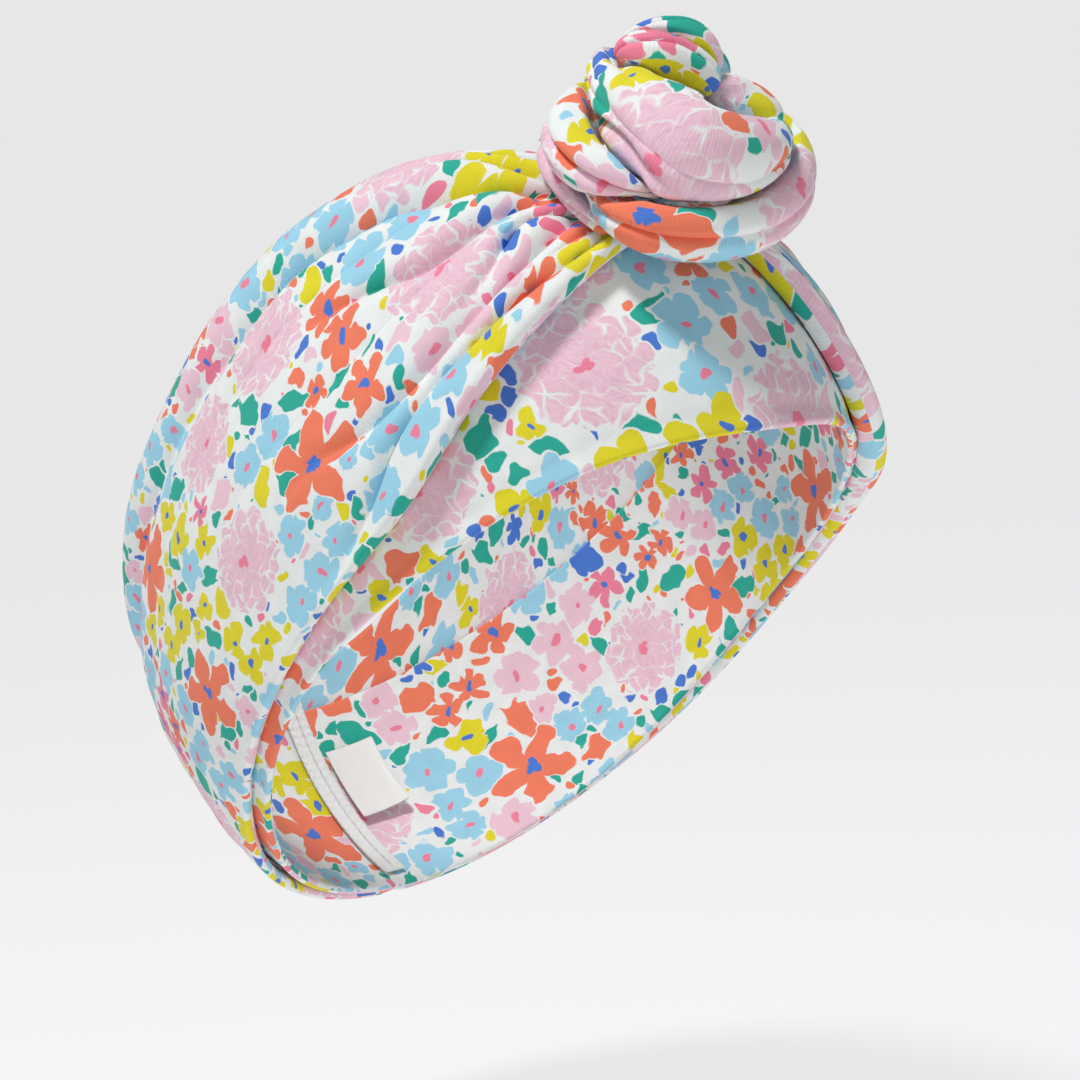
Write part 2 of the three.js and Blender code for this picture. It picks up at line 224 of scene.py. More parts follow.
def creased(creases, along, share, span):
    """The sum of many creases: how far the cloth sinks and slips."""
    sunk, slip = 0, 0
    for crease in creases:
        more_sunk, more_slip = crease.at(along, share, span)
        sunk, slip = sunk + more_sunk, slip + more_slip
    return sunk, slip


def soft_waves(seed, count, along, across):
    """Slow undulations of slack cloth: a seeded sum of long waves over (millimetres along, across)."""
    draw = np.random.default_rng(seed)
    waves = [(draw.uniform(-1, 1) / along, draw.uniform(0.4, 1) / across, draw.uniform(0, 6.28))
             for _ in range(count)]

    def at(u, v):
        return sum(np.sin(6.28 * (fu * u + fv * v) + phase) for fu, fv, phase in waves) / count

    return at


# ---- cloth that lies on the head
def head_layer(name, around, lower, upper, shape, flat_width, rows, closed=False):
    """A doubled layer of jersey round the head, with rolled fold edges.

    around lists its columns in degrees; lower and upper give its edges. shape(around, share, width)
    gives the outer face and the inner face over the skin, and the slip across, in millimetres.
    flat_width(around) is how wide the cloth would be if its pleats were pulled flat."""
    a = np.asarray(around, float)[:, None]
    low, high = lower(a), upper(a)
    width = np.maximum((high - low) * MM_PER_DEGREE, 1)
    even = np.linspace(0, 1, rows)[None, :]
    share = 0.4 * (0.5 - 0.5 * np.cos(np.pi * even)) + 0.6 * even
    top, bottom, slip = shape(a + 0 * share, share + 0 * a, width)
    edge = (top - bottom) / 2
    rim = np.minimum(share, 1 - share) * width
    bulge = np.sqrt(np.maximum(1 - (1 - np.minimum(rim / edge, 1)) ** 2, 0))
    across = low + (high - low) * share + slip * bulge / MM_PER_DEGREE
    middle, half = (top + bottom) / 2, edge * bulge
    outside = head_point(a + 0 * across, across, middle + half)
    inside = head_point(a + 0 * across, across, middle - half)
    points = np.concatenate([outside, inside[:, -2:0:-1]], axis=1)
    run = np.cumsum(np.linalg.norm(np.diff(outside, axis=1, prepend=outside[:, :1]), axis=-1), axis=1)
    flat_v = run / run[:, -1:] * flat_width(a)
    v = np.concatenate([flat_v, 2 * flat_v[:, -1:] - flat_v[:, -2::-1]], axis=1)
    uv = np.stack([a * MM_PER_DEGREE + 0 * v, v], -1)
    if closed:
        uv = np.concatenate([uv, uv[:1] + (360 * MM_PER_DEGREE, 0)])
    return tube_piece(name, points, uv, closed)


RIGHT_CREASES = [
    Crease([(6, 0.50), (14, 0.56), (20, 0.62), (26, 0.69), (39, 0.755), (46, 0.79), (64, 0.80), (120, 0.77),
            (170, 0.74)], 5.4, 3.8, 100, 168, lean=-0.9, opening=0.9),
    Crease([(6, 0.42), (13, 0.46), (34, 0.44), (42, 0.51), (60, 0.60)], 3.6, 2.2, 26, 66, lean=0.5),
    Crease([(6, 0.35), (13, 0.35), (18, 0.36), (23, 0.29), (35, 0.22)], 3.2, 1.9, 20, 44, lean=0.4),
    Crease([(6, 0.27), (14, 0.26), (20, 0.22), (34, 0.18), (50, 0.20), (64, 0.27)],
           3.4, 2.2, 30, 78, lean=-0.5),
    Crease([(6, 0.10), (20, 0.10), (32, 0.12), (51, 0.12), (57, 0.08), (71, 0.03)],
           3.0, 2.1, 42, 80, lean=-0.4),
    Crease([(6, 0.18), (14, 0.175), (22, 0.15)], 2.6, 1.5, 12, 28),
    Crease([(6, 0.61), (14, 0.70), (24, 0.82)], 2.4, 1.8, 12, 34, lean=-0.5),
    Crease([(6, 0.74), (14, 0.83), (24, 0.92)], 2.0, 1.5, 9, 26),
    Crease([(6, 0.31), (14, 0.305), (20, 0.32)], 2.0, 1.2, 10, 21),
    Crease([(30, 0.60), (60, 0.66), (100, 0.60), (140, 0.50)], 1.3, 5.0, 66, 150),
    Crease([(40, 0.36), (70, 0.40), (110, 0.34)], 1.0, 5.5, 60, 112),
]
LEFT_CREASES = [
    Crease([(6, 0.52), (14, 0.58), (25, 0.68), (40, 0.80), (64, 0.84), (120, 0.78), (170, 0.73)],
           5.0, 3.4, 96, 168, lean=-0.9, opening=0.7),
    Crease([(6, 0.41), (14, 0.43), (30, 0.47), (58, 0.53)], 3.5, 2.2, 30, 70, lean=0.5),
    Crease([(6, 0.30), (14, 0.31), (28, 0.27), (45, 0.24)], 3.4, 2.1, 28, 62, lean=0.4),
    Crease([(6, 0.20), (14, 0.20), (28, 0.16), (50, 0.13), (72, 0.16)], 3.3, 2.1, 38, 86, lean=-0.5),
    Crease([(6, 0.09), (14, 0.09), (24, 0.07), (40, 0.05)], 2.8, 1.7, 26, 52),
    Crease([(6, 0.63), (14, 0.71), (24, 0.80)], 2.5, 1.8, 12, 34, lean=-0.5),
    Crease([(6, 0.77), (14, 0.85), (24, 0.93)], 2.0, 1.5, 9, 24),
    Crease([(6, 0.355), (14, 0.37), (20, 0.38)], 2.0, 1.2, 10, 21),
    Crease([(30, 0.63), (60, 0.68), (100, 0.62), (140, 0.52)], 1.3, 5.0, 70, 150),
    Crease([(44, 0.34), (74, 0.38), (116, 0.33)], 1.0, 5.5, 64, 116),
]


def wrap_shape(creases, seed):
    """The outer and inner face of a wrap: pleats that fan out from the knot, a rolled crown edge, a
    soft fold over the forehead, and gathers at the nape."""
    slack = soft_waves(seed, 5, 80, 30)
    gathers = soft_waves(seed + 1, 7, 190, 9)
    roll_from = creases[0].place

    def shape(around, share, width):
        place = np.abs(around)
        along = place * MM_PER_DEGREE
        sunk, slip = creased(creases, place, share, width)
        swell = 0.3 + 3.6 * fade(place, 9, 96)
        edge_share = np.clip((share - roll_from(place)) / (1 - roll_from(place)), 0, 1)
        roll = 3.0 * np.sin(np.pi * edge_share ** 0.8) * fade(place, 120, 172) * (1 - fade(place, 8, 22))
        fold = 1.2 * np.exp(-((share * width / 5) ** 2)) * fade(place, 60, 110)
        wave = 0.9 * slack(along, share * width) * (1 - 0.6 * fade(place, 10, 40))
        nape = 1.25 * gathers(along, share * width) * (1 - fade(place, 122, 166))
        seam = 1.3 * np.exp(-(((place - 180) / 1.1) ** 2))
        throat = 1.6 * fade(place, 5, 12)
        top = WRAP_TOP + swell + roll + fold - sunk + wave + nape - seam - throat
        bottom = WRAP_BOTTOM + ELASTIC_ROOM * (1 - fade(place, 130, 150)) + 0 * top
        thin = bottom + 1.4
        top = np.where(top < thin, thin + 0.3 * (top - thin) * np.exp(np.minimum(top - thin, 0)), top)
        return top, bottom, slip

    return shape


def columns(start, end, finest, coarsest, fine_until):
    """Places round the band from start to end, closer together near the knot."""
    places, place = [start], start
    while place < end:
        share = min(max((place - fine_until) / 60, 0), 1)
        place += finest + (coarsest - finest) * share
        places.append(min(place, end))
    return np.array(places)


flat_across = line((0, 74), (12, 82), (30, 104), (60, 120), (110, 118), (180, 88))


def make_wrap(name, side, fold, creases, seed):
    """One wrap, from beneath the knot to the seam at the nape."""
    places = side * columns(1.2, 179.7, 0.36, 0.66, 30)
    shape = wrap_shape(creases, seed)
    return head_layer(name, places, fold, WRAP_UPPER, shape, flat_across, 230)


def make_inner_band():
    """The smooth doubled band under the wraps, one closed ring whose map starts at the back seam."""
    slack = soft_waves(31, 4, 120, 40)

    def shape(around, share, width):
        wave = 0.2 * slack(around * MM_PER_DEGREE, share * width)
        from_edge = share * width
        hem = 0.35 * np.exp(-((from_edge / 2.2) ** 2)) - 0.25 * np.exp(-(((from_edge - 4.5) / 1.6) ** 2))
        top = INNER_TOP + 0.2 + wave + hem
        return top, INNER_BOTTOM + 0 * top, 0 * top

    return head_layer("inner_band", np.arange(-180, 180, 0.75), BAND_LOWER, BAND_UPPER, shape,
                      level(62), 90, closed=True)


# ---- nape, label and stitches
# Degrees across: the ends of the back seam and of the tacks beside the knot, which stand TACK_PLACE round.
SEAM_LOW, SEAM_HIGH = -16, 21
TACK_LOW, TACK_HIGH = 4, 15
TACK_PLACE = 9.5


def level(value):
    """The same value all the way round."""
    return lambda around: value + 0 * np.asarray(around, float)


def make_nape_elastic():
    """The elastic that gathers the nape, between the inner band and the wraps."""
    def shape(around, share, width):
        ripple = 0.06 * np.sin(around * MM_PER_DEGREE * 2.4)
        return 3.3 + ripple, 2.75 + ripple, 0 * ripple

    return head_layer("nape_elastic_strap", np.arange(150, 210.1, 0.4), level(-14), level(2), shape,
                      level(25), 26)


def make_seam_allowance():
    """The joined cut edges of the back seam, pressed flat on the inside and bound by overlock loops."""
    def shape(around, share, width):
        from_edge = 2 - np.abs(around - 180)
        loops = 0.11 * np.sin(share * width * 3.2 + around * 2) * fade(from_edge, 0.5, 1.1)
        ridge = 0.22 * np.exp(-(((around - 180) / 0.35) ** 2))
        return -0.3 + 0 * loops, -0.95 - ridge + loops, 0 * loops

    return head_layer("back_seam_binding", np.arange(178, 182.01, 0.1), level(SEAM_LOW), level(SEAM_HIGH),
                      shape, level(60), 240)


def make_label():
    """A blank satin care label, folded over at its free end, that curls a little away from the cloth."""
    def shape(around, share, width):
        out = (around - 182.4) / 8.1
        curl = 1.1 * out ** 2 + 0.35 * out * np.cos(share * 6.28)
        fold = 0.28 * np.exp(-(((out - 1) / 0.06) ** 2))
        return -1.62 - curl + fold, -2.0 - curl - fold, 0 * curl

    return head_layer("care_label_ribbon", np.linspace(182.4, 190.5, 60), level(-4), level(9), shape,
                      level(21), 40)


def make_stitches(name, around, low, high, surface, rise=0.3, pitch=2.6, radius=0.24):
    """A row of lockstitches along a line of constant around. surface(across) is the height of the cloth
    under them; each stitch rises off it by rise, inwards if negative, and dives in at both ends."""
    count = int((high - low) * MM_PER_DEGREE / pitch)
    rings, sides = 9, 8
    points, faces, uv = [], [], []
    turn = 2 * np.pi * np.arange(sides) / sides
    for stitch in range(count):
        for ring in range(rings):
            share = ring / (rings - 1)
            across = low + (stitch + 0.08 + 0.84 * share) * pitch / MM_PER_DEGREE
            thick = radius * math.sin(math.pi * (0.08 + 0.84 * share)) ** 0.4
            centre = surface(across) + rise * math.sin(math.pi * share)
            side = around + np.cos(turn) * thick / MM_PER_DEGREE
            points.append(head_point(side, across + 0 * side, centre + np.sin(turn) * thick))
            uv.append(np.stack([np.arange(sides) * 0.2, share * pitch + 0 * turn], -1))
        start = stitch * rings * sides
        last = start + rings * sides - 1
        faces += (grid_faces(rings, sides)[0] + start).tolist()
        faces += [list(range(start, start + sides)), list(range(last, last - sides, -1))]
    points = np.concatenate(points)
    faces, corners = facing_out(points, faces, faces)
    return make_piece(name, points, faces, np.concatenate(uv), corners)


def wrap_surface(side, fold, creases, seed, around):
    """The height of a wrap's outer face along a line of constant around, as a function of across."""
    shape = wrap_shape(creases, seed)

    def at(across):
        a = np.array([[side * around]], float)
        low, high = fold(a), WRAP_UPPER(a)
        top, _, _ = shape(a, (across - low) / (high - low), (high - low) * MM_PER_DEGREE)
        return float(top[0, 0])

    return at


# ---- knot
KNOT_CENTRE = np.array([-2.7, -74, 84.5])
KNOT_LEAN = math.radians(60)
KNOT_TURN = math.radians(23)
KNOT_FACING = math.radians(40)
knot_up = np.array([
    -math.cos(KNOT_LEAN) * math.sin(KNOT_TURN),
    -math.cos(KNOT_LEAN) * math.cos(KNOT_TURN),
    math.sin(KNOT_LEAN),
])
knot_right = np.array([math.cos(KNOT_FACING), -math.sin(KNOT_FACING), 0])
knot_right -= knot_up * (knot_right @ knot_up)
knot_right /= np.linalg.norm(knot_right)
knot_front = np.cross(knot_right, knot_up)
KNOT_FLOOR = WRAP_TOP + 1.4
KNOT_MIDDLE = (0, -2, 5)
# How many steps a strand's surface grows in, outwards from its middle.
TRIES = 26


def knot_point(right, front, up):
    """A point of the knot, from millimetres in its own directions."""
    return KNOT_CENTRE + right * knot_right + front * knot_front + up * knot_up


# Each strand's stations are (right, front, up, half width, half depth) in the knot's own directions.
STRANDS = {
    "knot_core": [
        (0, -1, -1, 13, 12), (-1, -1, 5, 13, 12), (-2, -4, 11, 8, 7),
    ],
    "knot_outer_coil": [
        (-21, 5.5, -1, 3, 3.4), (-17.2, 13.4, -1.5, 4.6, 5), (-12.8, 19.8, -2, 6, 6.2),
        (-6.1, 22.6, -2.5, 7.2, 7.4), (2.9, 22.3, -2.5, 8, 8), (11.4, 18.5, -2.5, 8, 8),
        (18.3, 10.7, -2, 8, 8), (22.6, 0.5, -1, 7.8, 7.8), (23, -9, 0.5, 7.4, 7.4),
        (19.5, -16, 2, 7, 7), (12, -21, 2, 7, 7), (3, -23, 2, 7, 7),
    ],
    "knot_side_fold": [
        (-1, -23, 3, 7, 6.5), (-8, -20.5, 4, 7, 6.5), (-15, -15.5, 5.5, 7.4, 6.8),
        (-20.7, -8, 6.5, 7.8, 6.8), (-24.3, 1, 6, 7.6, 6.6), (-22, 9, 5, 7, 6.4),
        (-17.2, 15.2, 4, 6.6, 6), (-11, 18.6, 3, 5.8, 5.2), (-4, 19.5, 3, 4.6, 4.2),
    ],
    "knot_tucked_end": [
        (21, -9.5, 4, 6.4, 6), (16.3, -9.8, 9, 6.6, 6.2), (11.9, -9.8, 11.5, 6.4, 6),
        (7.9, -8.8, 14, 5.6, 5.4), (5.2, -7.4, 15, 4, 4),
    ],
    "knot_middle_wrap": [
        (-8.6, -19, 11.6, 4.6, 4.6), (-12.5, -17, 14, 6, 6), (-15.4, -12, 15.5, 7, 6.5),
        (-14.5, -1.6, 15, 8.4, 7), (-9.7, 11.2, 12.6, 12.6, 7.8), (-2.5, 18.6, 9.6, 13.6, 7.8),
        (6.5, 17, 7.6, 12.6, 7.8), (15.5, 7.6, 6.8, 9.4, 7), (21, -5.5, 6, 5, 4.5),
    ],
    "knot_top_loop": [
        (-13.9, -7.3, 18.5, 4.5, 4.2), (-12.2, -6.6, 22.3, 5.2, 5), (-7.8, -5.2, 23.7, 5.6, 5.4),
        (-2.4, -5.2, 22.3, 5.8, 5.4), (2.6, -4.8, 19.2, 5.6, 5.2), (5.5, -4.4, 15.5, 4.2, 4),
    ],
    "knot_top_roll": [
        (-13.1, -10.4, 17.5, 4, 4), (-12.2, -10.6, 20.6, 4.3, 4.3), (-9.6, -10.8, 23.4, 4.5, 4.5),
        (-5.6, -11, 25, 4.6, 4.6), (-1.2, -11.4, 25.2, 4.6, 4.6), (2, -11.6, 23.8, 4.5, 4.5),
        (4, -11.2, 20.6, 4.3, 4.3), (4.6, -10.4, 16.5, 4, 4),
    ],
    "knot_back_roll": [
        (-5.4, -16.6, 12.6, 4.4, 4.4), (-5.4, -17.2, 15.6, 5.4, 5.2), (-2.6, -17.6, 18.6, 5.8, 5.4),
        (2.2, -17.8, 19.2, 5.4, 5.2), (6.2, -17.6, 16.8, 4.8, 4.6), (8.4, -18, 11.5, 4.2, 4.2),
    ],
    "knot_under_fold": [
        (-25, -17, -1, 2.8, 2.8), (-27, -11, -2.2, 3.2, 3), (-26.6, -3.9, -3.8, 3.4, 3.2),
        (-23.8, 3.8, -5, 3.4, 3.2), (-20, 12.2, -5.6, 3.4, 3.2), (-15.5, 17.5, -7, 3, 3),
    ],
}


def between(p, q, start, end, t):
    """What is p at start and q at end, at t."""
    return (end - t) / (end - start) * p + (t - start) / (end - start) * q


def smooth_route(stations, step):
    """A smooth curve through the stations (centripetal), as stations step millimetres apart."""
    p = np.array([(*knot_point(*station[:3]), *station[3:]) for station in stations])
    p = np.concatenate([[2 * p[0] - p[1]], p, [2 * p[-1] - p[-2]]])
    out = []
    for a, b, c, d in zip(p[:-3], p[1:-2], p[2:-1], p[3:]):
        t0 = 0.0
        t1 = np.linalg.norm((b - a)[:3]) ** 0.5
        t2 = t1 + np.linalg.norm((c - b)[:3]) ** 0.5
        t3 = t2 + np.linalg.norm((d - c)[:3]) ** 0.5
        t = np.linspace(t1, t2, 60, endpoint=False)[:, None]
        bc = between(b, c, t1, t2, t)
        abc = between(between(a, b, t0, t1, t), bc, t0, t2, t)
        bcd = between(bc, between(c, d, t2, t3, t), t1, t3, t)
        out.append(between(abc, bcd, t1, t2, t))
    out = np.concatenate(out + [p[-2:-1]])
    run = np.concatenate([[0], np.cumsum(np.linalg.norm(np.diff(out[:, :3], axis=0), axis=1))])
    even = np.linspace(0, run[-1], max(8, int(round(run[-1] / step)) + 1))
    return np.stack([np.interp(even, run, out[:, k]) for k in range(5)], 1), even


def strand_frames(route):
    """At each station, the way across the strand and the way out of the knot."""
    tangent = np.gradient(route[:, :3], axis=0)
    tangent /= np.linalg.norm(tangent, axis=1)[:, None]
    out = route[:, :3] - knot_point(*KNOT_MIDDLE)
    out -= tangent * (out * tangent).sum(1)[:, None]
    for _ in range(6):
        out[1:-1] = (out[:-2] + 2 * out[1:-1] + out[2:]) / 4
    out -= tangent * (out * tangent).sum(1)[:, None]
    out /= np.linalg.norm(out, axis=1)[:, None]
    return np.cross(tangent, out), out


class Strand:
    """One strand of the knot as samples of its route, for telling how near a point is to it."""

    def __init__(self, stations, step):
        self.route, self.run = smooth_route(stations, step)
        self.across, self.out = strand_frames(self.route)

    def clearance(self, points):
        """About how far points are outside the strand's oval section; negative inside it."""
        nearest = np.full(points.shape[:-1], 1e9)
        for sample, across, out in zip(self.route, self.across, self.out):
            away = points - sample[:3]
            a, b = away @ across, away @ out
            rest = np.maximum((away * away).sum(-1) - a * a - b * b, 0)
            oval = np.sqrt((a / sample[3]) ** 2 + (b / sample[4]) ** 2 + rest / sample[4] ** 2)
            nearest = np.minimum(nearest, (oval - 1) * np.minimum(sample[3], sample[4]))
        return nearest


CROWD = {name: Strand(stations, 2.0) for name, stations in STRANDS.items()}

STRAND_CREASES = {
    "knot_middle_wrap": [
        Crease([(16, 0.03), (22, 0.06), (28, 0.12), (35, 0.165), (42, 0.17), (50, 0.18)],
               4.2, 1.9, 37, 52, lean=0.8, opening=0.3),
        Crease([(18, 0.16), (30, 0.20), (44, 0.23)], 1.5, 1.8, 26, 46),
        Crease([(8, 0.36), (22, 0.38), (34, 0.36)], 1.4, 1.8, 18, 36),
        Crease([(56, 0.24), (70, 0.26), (86, 0.25)], 0.9, 2.2, 80, 90),
    ],
    "knot_outer_coil": [
        Crease([(0, 0.20), (14, 0.26), (30, 0.33)], 0.7, 1.3, 8, 20),
        Crease([(70, 0.30), (90, 0.32), (120, 0.30)], 1.5, 1.6, 110, 140),
    ],
    "knot_side_fold": [
        Crease([(0, 0.30), (30, 0.28), (48, 0.27), (66, 0.30), (80, 0.34)], 2.2, 1.5, 70, 84, lean=0.4),
        Crease([(30, 0.16), (50, 0.13), (70, 0.12)], 1.3, 1.3, 60, 78),
    ],
    "knot_top_loop": [
        Crease([(0, 0.22), (16, 0.26), (30, 0.30)], 0.8, 1.5, 14, 30),
        Crease([(16, 0.14), (30, 0.20), (44, 0.24)], 1.1, 1.2, 40, 50),
    ],
    "knot_top_roll": [
        Crease([(0, 0.26), (20, 0.24), (48, 0.26)], 0.9, 0.7, 40, 52),
        Crease([(10, 0.36), (30, 0.35), (48, 0.33)], 0.8, 0.7, 40, 52),
        Crease([(20, 0.16), (36, 0.15), (48, 0.18)], 0.7, 0.7, 40, 52),
    ],
    "knot_tucked_end": [
        Crease([(0, 0.30), (12, 0.28), (26, 0.24)], 1.4, 1.3, 22, 34),
        Crease([(6, 0.16), (18, 0.18), (28, 0.20)], 1.2, 1.1, 26, 36),
    ],
    "knot_under_fold": [Crease([(0, 0.20), (20, 0.24), (44, 0.30)], 1.0, 0.8, 40, 50)],
}


def make_strand(name, seed, sides=112, step=0.6, gap=0.3):
    """One strand of the knot: an oval roll of cloth that flattens against its neighbours and the head."""
    strand = Strand(STRANDS[name], step)
    route, run = strand.route, strand.run
    length = run[-1]
    others = [other for key, other in CROWD.items() if key != name]
    share = np.linspace(0, 1, sides, endpoint=False)[None, :]
    wide, deep = route[:, 3:4], route[:, 4:5]
    span = 2 * np.pi * np.sqrt(wide * deep)
    along = run[:, None] + 0 * share
    sunk, slip = creased(STRAND_CREASES.get(name, []), along, share + 0 * along, span)
    gathers = soft_waves(seed, 7, 70, 6.5)
    slack = soft_waves(seed + 50, 4, 30, 16)
    angle = 2 * np.pi * (share + slip / span)
    towards = (strand.across[:, None] * (wide * np.cos(angle))[..., None]
               + strand.out[:, None] * (deep * np.sin(angle))[..., None])
    from_end = np.minimum(run, length - run)[:, None]
    rounded = np.minimum(1, (from_end + 0.4) / deep)
    end_size = np.sqrt(1 - (1 - rounded) ** 2)
    size = np.minimum(wide, deep)
    reach = np.full(angle.shape, 0.15) * end_size
    growing = np.ones(angle.shape, dtype=bool)
    for i in range(3, TRIES + 1):
        fraction = end_size * i / TRIES + 0 * reach
        spot = route[:, None, :3] + towards * fraction[..., None]
        clear = np.min([other.clearance(spot) for other in others], axis=0)
        pressed = (fraction - 1) * size > clear - gap
        low = height_over_skin(spot) < KNOT_FLOOR
        growing &= ~(pressed | low)
        reach = np.where(growing, np.maximum(reach, fraction), reach)
    for _ in range(3):
        reach = (reach * 2 + np.roll(reach, 1, 1) + np.roll(reach, -1, 1)) / 4
        reach[1:-1] = (reach[1:-1] * 2 + reach[2:] + reach[:-2]) / 4
    flat_angle = share * span + 0 * along
    relief = 0.32 * gathers(along, flat_angle) + 0.3 * slack(along, flat_angle) - 0.35
    pinch = 1 + 1.2 * np.exp(-from_end / 9)
    distance = np.linalg.norm(towards, axis=-1)
    reach = reach + (np.minimum(relief * pinch, 0) - sunk) * np.minimum(reach, 1) / distance
    reach = np.maximum(reach, 0.12 * end_size)
    rings = route[:, None, :3] + towards * reach[..., None]
    rings[0] = route[0, :3]
    rings[-1] = route[-1, :3]
    chart = np.linspace(0, 1, sides + 1)[None, :]
    uv = np.stack([run[:, None] + 0 * chart, chart * span.mean() + 0 * run[:, None]], -1)
    return tube_piece(name, rings, uv)


# ---- camera, light, floor
def feed(slot, value):
    """Links a field or a socket to an input, or sets the input to a plain value."""
    if isinstance(value, Field):
        value = value.socket
    if isinstance(value, bpy.types.NodeSocket):
        slot.id_data.links.new(value, slot)
    else:
        slot.default_value = value


def set_inputs(node, **values):
    """Feeds a node's inputs by name; an underscore in a name stands for a space."""
    for name, value in values.items():
        feed(node.inputs[name.replace("_", " ")], value)


CAMERA_TURN = math.radians(-40.5)
CAMERA_RISE = math.radians(4.75)
CAMERA_ROLL = math.radians(-4.6)
CAMERA_DISTANCE = 0.62
CAMERA_LENS = 86.8
AIM_RIGHT, AIM_UP = 0.0108, 0.0037
WALL_TOP = 0.22
WALL_LIGHT = 0.80
CEILING_LIGHT = 0.11
FLOOR_HALF = 6.0
FLOOR_HEIGHT = -0.165
FLOOR_GLOW = 0.75
WHITE = (1, 1, 1, 1)


def set_camera():
    """The camera stands to the wearer's front right, level with the head, with a long lens."""
    turn, rise, roll = CAMERA_TURN, CAMERA_RISE, CAMERA_ROLL
    away = Vector((math.sin(turn) * math.cos(rise), -math.cos(turn) * math.cos(rise), math.sin(rise)))
    right = (-away).cross(Vector((0, 0, 1))).normalized()
    up = right.cross(-away)
    side = right * math.cos(roll) + up * math.sin(roll)
    top = -right * math.sin(roll) + up * math.cos(roll)
    aim = side * AIM_RIGHT + top * AIM_UP
    eye = away * CAMERA_DISTANCE
    look = (aim - eye).normalized()
    side = (look.cross(top)).normalized()
    top = side.cross(look)
    camera = add_object("camera", bpy.data.cameras.new("camera"))
    camera.data.sensor_width = 36
    camera.data.lens = CAMERA_LENS
    camera.matrix_world = Matrix((
        (side.x, top.x, -look.x, eye.x),
        (side.y, top.y, -look.y, eye.y),
        (side.z, top.z, -look.z, eye.z),
        (0, 0, 0, 1),
    ))
    bpy.context.scene.camera = camera


def add_light(name, place, aim, size, power):
    """A round area lamp."""
    light = bpy.data.lights.new(name, "AREA")
    light.shape = "DISK"
    light.size = size
    light.energy = power
    obj = add_object(name, light)
    obj.location = place
    obj.rotation_euler = (Vector(aim) - Vector(place)).to_track_quat("-Z", "Y").to_euler()


def set_studio():
    """A soft lamp above and to the left, in a room with pale walls and a darker ceiling."""
    add_light("key", (-0.44, -0.10, 1.06), (0, -0.02, 0.03), 0.22, 9.4)
    add_light("fill", (-0.3, -1.1, 0.35), (0, -0.02, 0.02), 0.8, 0.5)
    world = bpy.data.worlds.new("studio")
    bpy.context.scene.world = world
    world.use_nodes = True
    tree = world.node_tree
    direction = tree.nodes.new("ShaderNodeTexCoord")
    height = unpair(direction.outputs["Generated"])[2]
    ramp = tree.nodes.new("ShaderNodeMapRange")
    ramp.interpolation_type = "SMOOTHSTEP"
    set_inputs(ramp, Value=height, From_Min=WALL_TOP - 0.05, From_Max=WALL_TOP + 0.05,
               To_Min=WALL_LIGHT, To_Max=CEILING_LIGHT)
    set_inputs(tree.nodes["Background"], Color=WHITE, Strength=ramp.outputs["Result"])
    bpy.context.scene.view_settings.view_transform = "Standard"


def make_floor():
    """A pale floor, lit a little from within so that it meets the walls without a line."""
    size, height = FLOOR_HALF, FLOOR_HEIGHT
    mesh = bpy.data.meshes.new("floor")
    corners = [(-size, -size, height), (size, -size, height), (size, size, height), (-size, size, height)]
    mesh.from_pydata(corners, [], [(0, 1, 2, 3)])
    floor = add_object("floor", mesh)
    material = bpy.data.materials.new("floor")
    material.use_nodes = True
    shader = material.node_tree.nodes["Principled BSDF"]
    set_inputs(shader, Base_Color=(0.25, 0.25, 0.25, 1), Roughness=0.9)
    set_inputs(shader, Emission_Color=WHITE, Emission_Strength=FLOOR_GLOW)
    mesh.materials.append(material)


# ---- cloth and its print
class Field:
    """A number that varies over the cloth: a node socket that takes part in sums."""

    def __init__(self, socket):
        self.socket = socket

    def op(self, operation, *others):
        return self.maths(operation, self, *others)

    def maths(self, operation, *values):
        """A maths node over fields and plain numbers."""
        node = self.socket.id_data.nodes.new("ShaderNodeMath")
        node.operation = operation
        for slot, value in zip(node.inputs, values):
            feed(slot, value)
        return Field(node.outputs[0])

    def __add__(self, other):
        return self.op("ADD", other)

    def __sub__(self, other):
        return self.op("SUBTRACT", other)

    def __rsub__(self, other):
        return self.maths("SUBTRACT", other, self)

    def __mul__(self, other):
        return self.op("MULTIPLY", other)

    def __truediv__(self, other):
        return self.op("DIVIDE", other)

    __radd__ = __add__
    __rmul__ = __mul__

    def soft_step(self, softness):
        """0 well below zero, 1 well above, over a short ramp."""
        return (self / softness + 0.5).op("MINIMUM", 1.0).op("MAXIMUM", 0.0)


def linear(code):
    """A colour written as its usual six-figure code, as the linear numbers that shaders use."""
    parts = [int(code[i:i + 2], 16) / 255 for i in (0, 2, 4)]
    return tuple(p / 12.92 if p <= 0.04045 else ((p + 0.055) / 1.055) ** 2.4 for p in parts) + (1.0,)


GROUND = "F4F8F7"
PALE_PINK = "F6CFDF"
PINK = "EDBBD0"
HOT_PINK = "F98AA6"
CORAL = "FB8566"
YELLOW = "EBDF2E"
GREEN = "2FB39F"
SKY = "A3DCF3"
BLUE = "4F80DC"


def pair(x, y):
    """Two fields as one place, for a texture."""
    node = x.socket.id_data.nodes.new("ShaderNodeCombineXYZ")
    set_inputs(node, X=x, Y=y)
    return node.outputs[0]


def unpair(socket):
    """The three parts of a vector or colour socket, as fields."""
    node = socket.id_data.nodes.new("ShaderNodeSeparateXYZ")
    feed(node.inputs[0], socket)
    return [Field(part) for part in node.outputs]


def mixed(factor, under, over):
    """Colour over laid on colour under where factor is 1; colours are sockets or colour codes."""
    node = factor.socket.id_data.nodes.new("ShaderNodeMix")
    node.data_type = "RGBA"
    feed(node.inputs[0], factor)
    for slot, value in ((node.inputs[6], under), (node.inputs[7], over)):
        feed(slot, linear(value) if isinstance(value, str) else value)
    return node.outputs[2]


